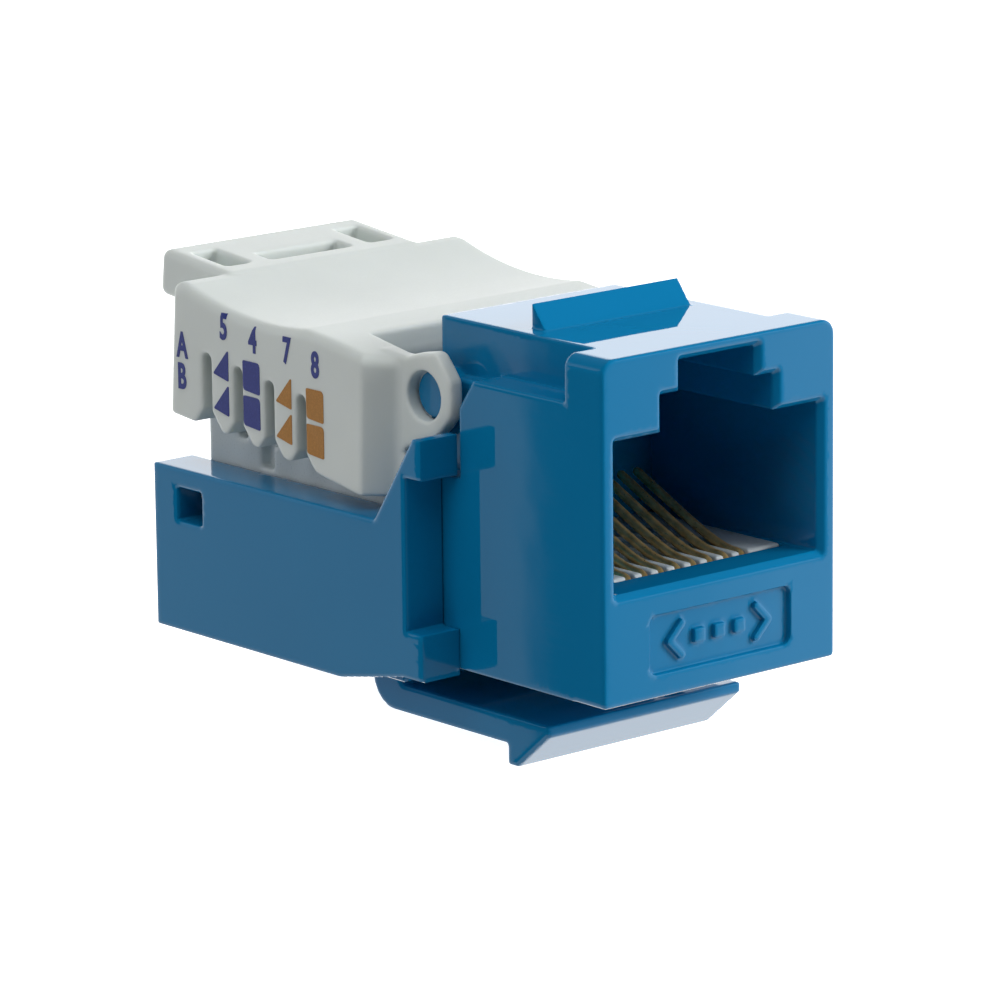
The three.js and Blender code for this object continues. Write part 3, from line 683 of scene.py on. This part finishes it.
def terminal_base():
    low, high = BASE
    g = Grid(low, high, 0.11)
    obj = moulded("base_moulding", base_field(g), g, BASE_WHITE, blur=1, keep=0.3)
    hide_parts("terminal_base")
    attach(obj, "housing")


BED = {"half": 5.92, "front": 2.25, "top": 5.3, "edge": 0.14}
LANE = {"half": 0.25, "floor": 1.12, "rear_wall": 0.6, "pit_floor": 0.4, "pit_rear": 0.2}


def contact_carrier():
    low = Vector((-BED["half"], BED["front"], CARRIER[0].z))
    high = Vector((BED["half"], CARRIER[1].y, BED["top"]))
    g = Grid(low, high, 0.07)
    field = block(g, (low.x, high.x), (low.y, high.y), (low.z, high.z), BED["edge"])
    for x, rear in zip(WIRES, LEG_Y):
        lane = slab(g.x, x - LANE["half"], x + LANE["half"])
        shallow = both(lane, both(g.y - high.y + LANE["rear_wall"], low.z + LANE["floor"] - g.z))
        deep = both(lane, both(g.y - rear - LANE["pit_rear"], low.z + LANE["pit_floor"] - g.z))
        field = without(field, np.minimum(shallow, deep), 0.06)
    obj = moulded("carrier_moulding", field, g, BED_WHITE, blur=1, keep=0.3)
    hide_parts("contact_carrier")
    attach(obj, "housing")


# ---------------------------------------------------------------------------
# Wire cap, described shut and level and then opened to its rest angle
# ---------------------------------------------------------------------------

LID = {
    "half": 9.0, "inner": 7.25, "arm_inner": 6.4, "ear_outer": 7.45, "front": 15.03, "arm_front": 14.05,
    "notch": 17.5, "rear": 29.45, "rear_wall": 1.1, "exit_top": 10.7, "under": 12.9, "low": 7.7,
    "front_low": 7.45, "shoulder": 0.5, "level": 13.8, "front_lean": 0.068, "rear_lean": 0.032,
}
FRONT_WALL = {"half": 6.9, "thick": 0.8, "low": 11.0, "top": 13.4}
PRESSER = {"inner": 4.2, "outer": 7.6, "half": 0.35, "shift": 0.12, "low": 10.7, "top": 13.1}
SCOOP = {"front": 19.6, "rear": 28.5, "depth": 0.52, "top": 14.34}
COMB = {
    "half": 0.36, "top": 12.84, "fall": 0.13, "taper": 2.8, "tip": 3.6, "mouth": 1.02,
    "first": 26.75, "pitch": 2.4,
}
EAR = {"radius": 1.9, "hole": 1.2, "edge": 0.2, "inner": 6.6}
LIFT_BAR = {"half": 6.15, "rear": 34.15, "low": 12.05, "top": 14.4, "edge": 0.45, "pocket": 1.0}
SIDE_POCKET = {"x": (3.75, 5.25), "y": (30.0, 32.8)}
MIDDLE_POCKET = {"half": 2.55, "y": (29.9, 31.2)}
ARCH = {"half": 3.3, "top": 11.9, "radius": 1.4}


def cap_top(y):
    """Height of the cap's top along its length: a finger scoop between the hump and the rear rim."""
    s = np.clip((y - SCOOP["front"]) / (SCOOP["rear"] - SCOOP["front"]), 0, 1)
    arm = np.clip((SCOOP["front"] - 1.5 - y) / 4.0, 0, 1)
    return SCOOP["top"] - SCOOP["depth"] * 4 * s * (1 - s) - 0.3 * arm * arm - 0.08 * np.clip(s - 0.5, 0, 1)


def cap_plan(g):
    """The cap's outer outline seen from above, with its notch in a second field. Both ends lean a little."""
    half, front, arm, rear = LID["half"], LID["front"], LID["arm_front"], LID["rear"]
    right = [(LID["ear_outer"], arm, 0.25), (half, front, 0.12), (half, rear, 0.3)]
    left = [(-u, v, r) for u, v, r in reversed(right)]
    along = np.clip((g.y - front) / (rear - front), 0, 1)
    lean = LID["front_lean"] + (LID["rear_lean"] - LID["front_lean"]) * along
    y = g.y + lean * (LID["level"] - g.z)
    notch = both(mirrored(g) - LID["arm_inner"], y - LID["notch"], 0.12)
    return outline(g.x, y, rounded(right + left)), notch


def comb_field(g):
    """The wire slots. They stand upright while the cap is at rest, so they lean when it is shut."""
    c, s = math.cos(CAP_OPEN), math.sin(CAP_OPEN)
    dy, dz = g.y - HINGE.y, g.z - HINGE.z
    y = HINGE.y + dy * c - dz * s
    z = HINGE.z + dy * s + dz * c
    field = np.full((1, 1, 1), np.inf)
    for row in range(4):
        middle = COMB["first"] - COMB["pitch"] * row
        top = COMB["top"] - COMB["fall"] * COMB["pitch"] * row
        spread = np.clip((top - COMB["taper"] - z) / (COMB["tip"] - COMB["taper"]), 0, 1.2)
        half = COMB["half"] + spread * (COMB["mouth"] - COMB["half"])
        lane = (np.abs(y - middle) - half) * np.where(spread > 0, 0.75, 1)
        field = np.minimum(field, both(lane, z - top, COMB["half"] * 0.9))
    return both(field, LID["inner"] - 0.6 - mirrored(g))


def ear_field(g):
    """A flat ear with a round foot and a squarer head, joined to the arm by a web."""
    x = mirrored(g)
    head = rounded([
        (HINGE.y - 1.8, HINGE.z - 0.6, 0.3),
        (HINGE.y - 1.8, HINGE.z + 1.1, 0.4),
        (HINGE.y - 0.6, 15.05, 0.5),
        (13.6, 14.34, 0.5),
        (15.4, 14.2, 0),
        (15.4, 9.0, 0),
        (13.9, 9.0, 0.2),
        (13.4, 9.9, 0.3),
        (HINGE.y - 0.95, HINGE.z - 1.65, 0),
    ])
    flat = either(circle(g.y, g.z, HINGE.y, HINGE.z, EAR["radius"]), outline(g.y, g.z, head), 0.3)
    plate = both(flat, slab(x, EAR["inner"], LID["ear_outer"]), EAR["edge"])
    skirt = both(both(slab(x, 7.05, LID["ear_outer"]), slab(g.y, 13.4, 15.2)), slab(g.z, 7.65, 9.6))
    return either(plate, skirt)


def lift_bar_field(g):
    x = mirrored(g)
    bar = block(
        g, (-LIFT_BAR["half"], LIFT_BAR["half"]), (LID["rear"] - 0.8, LIFT_BAR["rear"]),
        (LIFT_BAR["low"], LIFT_BAR["top"]), LIFT_BAR["edge"],
    )
    floor = LIFT_BAR["top"] - LIFT_BAR["pocket"]
    side = both(both(slab(x, *SIDE_POCKET["x"]), slab(g.y, *SIDE_POCKET["y"]), 0.15), floor - g.z)
    middle = both(both(x - MIDDLE_POCKET["half"], slab(g.y, *MIDDLE_POCKET["y"]), 0.15), floor - g.z)
    return without(bar, np.minimum(side, middle), 0.12)


def cap_field(g):
    x = mirrored(g)
    top = cap_top(g.y)
    low = LID["low"] + (LID["front_low"] - LID["low"]) * np.clip((18.6 - g.y) / 3.6, 0, 1)
    plan, notch = cap_plan(g)
    shell = both(plan, (g.z - top) * 0.98, LID["shoulder"])
    shell = both(without(shell, notch, 0.1), low - g.z, 0.12)
    rear = LID["rear"] - LID["rear_wall"]
    cavity = both(both(x - LID["inner"], g.y - rear), g.z - LID["under"], 0.3)
    shell = without(shell, cavity)
    exit_low = both(both(x - LID["inner"], rear - 0.5 - g.y), g.z - LID["exit_top"])
    shell = without(shell, exit_low, 0.1)
    arch = both(x - ARCH["half"], g.z - ARCH["top"], ARCH["radius"])
    shell = without(shell, both(arch, rear - 1 - g.y), 0.15)
    wall_y = (LID["notch"], LID["notch"] + FRONT_WALL["thick"])
    wall_z = (FRONT_WALL["low"], FRONT_WALL["top"])
    front_wall = block(g, (-FRONT_WALL["half"], FRONT_WALL["half"]), wall_y, wall_z, 0.15)
    field = either(shell, front_wall, 0.15)
    for y in ROWS:
        middle = y + PRESSER["shift"]
        across = slab(x, PRESSER["inner"], PRESSER["outer"])
        presser = both(across, slab(g.y, middle - PRESSER["half"], middle + PRESSER["half"]), 0.1)
        presser = both(presser, slab(g.z, PRESSER["low"], PRESSER["top"]), 0.1)
        field = either(field, presser, 0.1)
    field = without(field, comb_field(g), 0.12)
    field = either(field, ear_field(g), 0.25)
    hole = both(circle(g.y, g.z, HINGE.y, HINGE.z, EAR["hole"]), 6 - x)
    field = without(field, hole, 0.06)
    return either(field, lift_bar_field(g), 0.12)


def opened(obj):
    """Turns a mesh that was drawn shut to the cap's rest angle about the hinge."""
    pivot = Matrix.Translation(MM_TO_FRAME @ HINGE)
    obj.data.transform(pivot @ Matrix.Rotation(CAP_OPEN, 4, "X") @ pivot.inverted())


def wire_cap():
    low = (-LID["half"], HINGE.y - EAR["radius"], LID["front_low"])
    high = (LID["half"], LIFT_BAR["rear"], 15.2)
    g = Grid(low, high, 0.09)
    obj = moulded("cap_moulding", cap_field(g), g, CAP_WHITE, blur=1, keep=0.35)
    opened(obj)
    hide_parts("wire_cap")
    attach(obj, "cap")
    return obj


# ---------------------------------------------------------------------------
# Printed marks on the cap's two sides: generic wire numbers and pair marks
# ---------------------------------------------------------------------------

INK = 0.03  # how far the print stands out
DIGIT = {"height": 1.27, "squeeze": 0.68, "weight": 0.055}
MARK = {"half": 0.64, "height": 1.56, "drop": 1.72}
BLOCK_RADIUS = 0.22
LETTER_PLACES = ((28.55, 13.05), (28.62, 11.5))
NUMBER_PLACES = ((25.28, 14.42), (23.04, 14.1), (20.46, 13.98), (18.33, 13.6))


def prism(points, side):
    """A thin plate of ink on the cap's side wall from (y, z) corners."""
    outer, inner = side * (LID["half"] + INK), side * (LID["half"] - 0.05)
    count = len(points)
    vertices = [(outer, y, z) for y, z in points] + [(inner, y, z) for y, z in points]
    faces = [list(range(count)), list(range(2 * count - 1, count - 1, -1))]
    faces += [[i, count + i, count + (i + 1) % count, (i + 1) % count] for i in range(count)]
    return vertices, faces


def triangle_mark(y, z):
    """A triangle that points to the rear, with its upright side towards the front."""
    half, high = MARK["half"], MARK["height"]
    corners = [(y - half, z), (y + half * 0.85, z - high * 0.83), (y - half, z - high)]
    return rounded([(u, v, 0.05) for u, v in corners], 2)


def block_mark(y, z):
    half, high = MARK["half"], MARK["height"]
    r = BLOCK_RADIUS
    front = [(y - half, z, r), (y - half, z - high, 0.08)]
    return rounded([(y + half, z, 0.08), *front, (y + half, z - high + 0.12, r)], 3)


def character(text, place, side, material):
    """A number or letter standing on the side wall, centred on place (y, z)."""
    curve = bpy.data.curves.new("glyph", "FONT")
    curve.body = text
    curve.size = DIGIT["height"] * MM / 0.73
    curve.align_x = "CENTER"
    curve.extrude = (INK + 0.05) / 2 * MM
    curve.offset = DIGIT["weight"] * MM
    curve.resolution_u = 4
    holder = bpy.data.objects.new("glyph", curve)
    bpy.context.scene.collection.objects.link(holder)
    graph = bpy.context.evaluated_depsgraph_get()
    mesh = bpy.data.meshes.new_from_object(holder.evaluated_get(graph))
    bpy.data.objects.remove(holder)
    bm = bmesh.new()
    bm.from_mesh(mesh)
    bmesh.ops.remove_doubles(bm, verts=bm.verts, dist=1e-7)
    bmesh.ops.triangulate(bm, faces=bm.faces)
    long_edges = [e for e in bm.edges if e.calc_length() > 0.25 * MM]
    bmesh.ops.subdivide_edges(bm, edges=long_edges, cuts=3, use_grid_fill=True)
    bmesh.ops.triangulate(bm, faces=bm.faces)
    bm.to_mesh(mesh)
    bm.free()
    across = Vector((0, -1, 0)) if side < 0 else Vector((0, 1, 0))
    basis = Matrix((across * DIGIT["squeeze"], Vector((0, 0, 1)), Vector((side, 0, 0)))).transposed().to_4x4()
    y, z = place
    foot = MM_TO_FRAME @ Vector((side * (LID["half"] - (0.05 - INK) / 2), y, z - DIGIT["height"] / 2))
    mesh.transform(Matrix.Translation(foot) @ basis)
    return add_object("mark_" + text, mesh, material)


def wrap(obj, cap, side):
    """Lets a flat mark follow the rounding of the cap's side."""
    faces = [tuple(p.vertices) for p in cap.data.polygons]
    surface = BVHTree.FromPolygons([v.co for v in cap.data.vertices], faces)
    wall = side * LID["half"] * MM
    for vertex in obj.data.vertices:
        start = Vector((side * 0.012, vertex.co.y, vertex.co.z))
        hit = surface.ray_cast(start, Vector((-side, 0, 0)), 0.004)[0]
        if hit:
            vertex.co.x += hit.x - wall


def join_objects(name, objects):
    bm = bmesh.new()
    for obj in objects:
        bm.from_mesh(obj.data)
    material = objects[0].data.materials[0]
    for obj in objects:
        bpy.data.objects.remove(obj)
    bmesh.ops.remove_doubles(bm, verts=bm.verts, dist=1e-8)
    mesh = bpy.data.meshes.new(name)
    bm.to_mesh(mesh)
    bm.free()
    return add_object(name, mesh, material)


def side_marks(cap, side, numbers, inks):
    """Marks of one side: A and B, then four numbers, each over its two pair marks."""
    places = LETTER_PLACES + NUMBER_PLACES
    marks = [character(text, place, side, NAVY_INK) for text, place in zip("AB" + numbers, places)]
    shapes = {inks[0]: [], inks[1]: []}
    for row in range(len(numbers)):
        y = COMB["first"] - COMB["pitch"] * (row + 0.5) + 0.05
        top = 13.28 - COMB["fall"] * COMB["pitch"] * row
        drawn = triangle_mark if row % 2 == 0 else block_mark
        for level in (top, top - MARK["drop"]):
            shapes[inks[row // 2]].append(prism(drawn(y, level), side))
    tag = "left" if side < 0 else "right"
    made = [join_objects("print_characters_" + tag, marks)]
    for ink, parts in shapes.items():
        made.append(solid_from("print_" + ink.name + "_" + tag, parts, ink))
    for obj in made:
        wrap(obj, cap, side)
        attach(obj, "cap")


# ---------------------------------------------------------------------------
# Contacts, board and blades
# ---------------------------------------------------------------------------

WIRE = {"radius": 0.225, "leg": 4.36, "bend_y": 2.82, "bend": 0.4, "sides": 16}
TAIL = {"turn": 0.5, "low": 1.75}
SPRING_END = (9.67, 7.87)
SPRING_RISE = (6.8, 6.55)  # the point that steers the free half's curve upwards


def wire_path(leg_y):
    """(y, z) points from the tail in the board, forward along the bed, round the bend and up."""
    centre = WIRE["leg"] + WIRE["bend"]
    path = [(leg_y, TAIL["low"]), (leg_y, WIRE["leg"] - TAIL["turn"])]
    for k in range(1, 6):
        a = k / 5 * math.pi / 2
        back, down = TAIL["turn"] * (1 - math.cos(a)), TAIL["turn"] * (1 - math.sin(a))
        path.append((leg_y - back, WIRE["leg"] - down))
    path += [(y, WIRE["leg"]) for y in np.linspace(leg_y - 1, WIRE["bend_y"] + 0.5, 4)]
    for k in range(13):
        a = -math.pi / 2 - k / 12 * math.pi
        path.append((WIRE["bend_y"] + WIRE["bend"] * math.cos(a), centre + WIRE["bend"] * math.sin(a)))
    top = centre + WIRE["bend"]
    corners = [(WIRE["bend_y"], top), (WIRE["bend_y"] + 1.5, top), SPRING_RISE, SPRING_END]
    for k in range(1, 15):
        t = k / 14
        weights = ((1 - t) ** 3, 3 * t * (1 - t) ** 2, 3 * t * t * (1 - t), t ** 3)
        path.append(tuple(sum(w * c[i] for w, c in zip(weights, corners)) for i in (0, 1)))
    return path


def tube(x, path):
    """A round wire along a path in an upright plane, with domed ends."""
    points = [Vector(p) for p in path]
    sides = WIRE["sides"]
    rings = []
    for k, p in enumerate(points):
        along = (points[min(k + 1, len(points) - 1)] - points[max(k - 1, 0)]).normalized()
        rings.append((p, along, WIRE["radius"]))
    for end, sign in ((0, -1), (-1, 1)):
        p, along, radius = rings[end]
        outward = along * sign * radius
        dome = [(p + outward * s, along, radius * math.sqrt(1 - s * s)) for s in (0.5, 0.85, 0.98)]
        rings = list(reversed(dome)) + rings if sign < 0 else rings + dome
    vertices = []
    for p, along, radius in rings:
        up = Vector((-along.y, along.x))
        for s in range(sides):
            a = 2 * math.pi * s / sides
            vertices.append((x + radius * math.cos(a), *(p + up * radius * math.sin(a))))
    faces = []
    for k in range(len(rings) - 1):
        for s in range(sides):
            a, b = k * sides + s, k * sides + (s + 1) % sides
            faces.append([a, b, b + sides, a + sides])
    last = (len(rings) - 1) * sides
    faces += [list(range(sides)), list(range(last + sides - 1, last - 1, -1))]
    return vertices, faces


def contacts():
    """Each contact is one wire. Its free half rises from the front turn."""
    for number, (x, rear) in enumerate(zip(WIRES, LEG_Y), start=1):
        obj = solid_from(f"contact_wire_{number}", [tube(x, wire_path(rear - WIRE["radius"]))], GOLD)
        obj.data.shade_smooth()
        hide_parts(f"contact_leg_{number}", f"contact_spring_{number}")
        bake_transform(obj)


def finish_cad_node(name, material, width):
    """Keeps a CAD node, with merged flat faces, small rounded edges and a finished material."""
    obj = frame["nodes"][name]
    obj.data.materials.clear()
    obj.data.materials.append(material)
    weld = obj.modifiers.new("weld", "WELD")
    weld.merge_threshold = 0.001 * MM
    flat = obj.modifiers.new("flat", "DECIMATE")
    flat.decimate_type = "DISSOLVE"
    flat.angle_limit = math.radians(2)
    edge = obj.modifiers.new("edge", "BEVEL")
    edge.width = width * MM
    edge.segments = 2
    edge.limit_method = "ANGLE"
    edge.angle_limit = math.radians(30)
    even = obj.modifiers.new("even", "WEIGHTED_NORMAL")
    even.weight = 80
    obj.data.shade_smooth()


def blades_and_board():
    for number in range(1, 9):
        finish_cad_node(f"terminal_blade_{number}", TIN, 0.05)
    finish_cad_node("circuit_board", MASK, 0.04)


# ---------------------------------------------------------------------------
# Studio: floor, soft light and camera
# ---------------------------------------------------------------------------

VIEW = {"azimuth": 40.647, "elevation": 13.133, "roll": -0.635, "lens": 209.376}
EYE = Vector((-177.02, -190.627, 69.455))


def studio_floor():
    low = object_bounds()[0].z
    reach = 0.6
    mesh = bpy.data.meshes.new("floor")
    corners = [(-reach, -reach, low), (reach, -reach, low), (reach, reach, low), (-reach, reach, low)]
    mesh.from_pydata(corners, [], [(0, 1, 2, 3)])
    n = Nodes("floor_paper")
    n.set(base_color=(0.93, 0.93, 0.93, 1), roughness=0.9)
    n.put(n.surface, "Emission Color", (1, 1, 1, 1))
    n.put(n.surface, "Emission Strength", 0.9)
    floor = add_object("floor", mesh, n.material)
    floor.visible_glossy = False
    floor.visible_diffuse = False
    floor.visible_transmission = False


SURROUND = (
    (-180, 0.3), (-60, 0.38), (-40, 0.5), (-20, 1.1), (0, 1.5), (25, 1.9), (60, 1.9),
    (95, 1.2), (125, 1.0), (136, 0.95), (138.5, 0.3), (180, 0.12),
)
SWEEP_EDGE = (-41.1, -40.85, 0.06)
OVERHEAD = ((-1, 1), (0.35, 1), (0.5, 0.06), (1, 0.06))
TABLE = ((-1, 1), (-0.45, 1), (-0.33, 0), (1, 0))
BRIGHTEST = 1.9
TABLE_LIGHT = 0.8


def studio_world():
    """Soft surround, bright behind the object and dark in front of it. The camera itself sees plain white."""
    world = bpy.data.worlds.new("studio")
    bpy.context.scene.world = world
    world.use_nodes = True
    tree = world.node_tree
    tree.nodes.clear()

    def add(kind, inputs=None, **settings):
        node = tree.nodes.new("ShaderNode" + kind)
        for key, value in settings.items():
            setattr(node, key, value)
        for key, value in (inputs or {}).items():
            if isinstance(value, bpy.types.NodeSocket):
                tree.links.new(value, node.inputs[key])
            else:
                node.inputs[key].default_value = value
        return node

    def levels(value, low, high, stops):
        place = add("MapRange", {0: value, 1: low, 2: high}).outputs[0]
        ramp = add("ValToRGB", {0: place})
        elements = ramp.color_ramp.elements
        for index, (at, level) in enumerate(stops):
            stop = elements[index] if index < 2 else elements.new(1.0)
            stop.position = (at - low) / (high - low)
            stop.color = (level, level, level, 1)
        return ramp.outputs[0]

    direction = add("TexCoord").outputs["Generated"]
    parts = add("SeparateXYZ", {0: direction})
    angle = add("Math", {0: parts.outputs[0], 1: parts.outputs[1]}, operation="ARCTAN2").outputs[0]
    azimuth = add("Math", {0: angle, 1: 180 / math.pi}, operation="MULTIPLY").outputs[0]
    around = levels(azimuth, -180, 180, [(at, level / BRIGHTEST) for at, level in SURROUND])
    above = levels(parts.outputs[2], -1, 1, OVERHEAD)
    start, end, beyond = SWEEP_EDGE
    sweep = add("MapRange", {0: azimuth, 1: start, 2: end, 3: beyond, 4: 1}).outputs[0]
    swept = add("Math", {0: around, 1: sweep}, operation="MULTIPLY").outputs[0]
    strength = add("Math", {0: swept, 1: above}, operation="MULTIPLY").outputs[0]
    below = levels(parts.outputs[2], -1, 1, TABLE)
    table = add("Math", {0: below, 1: TABLE_LIGHT / BRIGHTEST}, operation="MULTIPLY").outputs[0]
    level = add("Math", {0: strength, 1: table}, operation="MAXIMUM").outputs[0]
    lit = add("Background", {0: level, 1: BRIGHTEST}).outputs[0]
    seen = add("Background", {0: (1, 1, 1, 1), 1: 1.0}).outputs[0]
    camera_ray = add("LightPath").outputs["Is Camera Ray"]
    mixed = add("MixShader", {0: camera_ray, 1: lit, 2: seen}).outputs[0]
    add("OutputWorld", {0: mixed})


def soft_light(name, place, target, size, power):
    light = bpy.data.lights.new(name, "AREA")
    light.shape = "RECTANGLE"
    light.size, light.size_y = size
    light.energy = power
    obj = bpy.data.objects.new(name, light)
    bpy.context.scene.collection.objects.link(obj)
    obj.location = place
    obj.rotation_mode = "QUATERNION"
    obj.rotation_quaternion = (Vector(target) - Vector(place)).to_track_quat("-Z", "Y")
    return obj


def studio_lights():
    target = (0, 0, 0.008)
    key = soft_light("key", (0.295, -0.3, 0.175), target, (0.26, 0.26), 1.95)
    front = soft_light("front", (0.12, -0.45, 0.03), target, (0.2, 0.2), 0.38)
    top = soft_light("top", (-0.12, -0.06, 0.4), target, (0.4, 0.4), 1.15)
    fill = soft_light("fill", (-0.42, 0.03, 0.12), target, (0.3, 0.3), 0.49)
    for light in (key, front, top, fill):
        light.visible_glossy = False


def studio_camera():
    data = bpy.data.cameras.new("camera")
    data.lens, data.sensor_width = VIEW["lens"], 36
    data.clip_start, data.clip_end = 0.01, 10
    camera = bpy.data.objects.new("camera", data)
    bpy.context.scene.collection.objects.link(camera)
    a, e = math.radians(VIEW["azimuth"]), math.radians(VIEW["elevation"])
    ahead = Vector((math.sin(a) * math.cos(e), math.cos(a) * math.cos(e), -math.sin(e)))
    camera.location = MM_TO_FRAME @ EYE
    camera.rotation_mode = "QUATERNION"
    roll = Quaternion((0, 0, 1), math.radians(VIEW["roll"]))
    camera.rotation_quaternion = ahead.to_track_quat("-Z", "Y") @ roll
    bpy.context.scene.camera = camera


front_housing()
rear_shell()
latch()
terminal_base()
contact_carrier()
lid = wire_cap()
side_marks(lid, -1, "5478", (NAVY_INK, OCHRE_INK))
side_marks(lid, 1, "2163", (GREEN_INK, ORANGE_INK))
contacts()
blades_and_board()
studio_floor()
studio_world()
studio_lights()
studio_camera()
bpy.context.scene.view_settings.view_transform = "Standard"
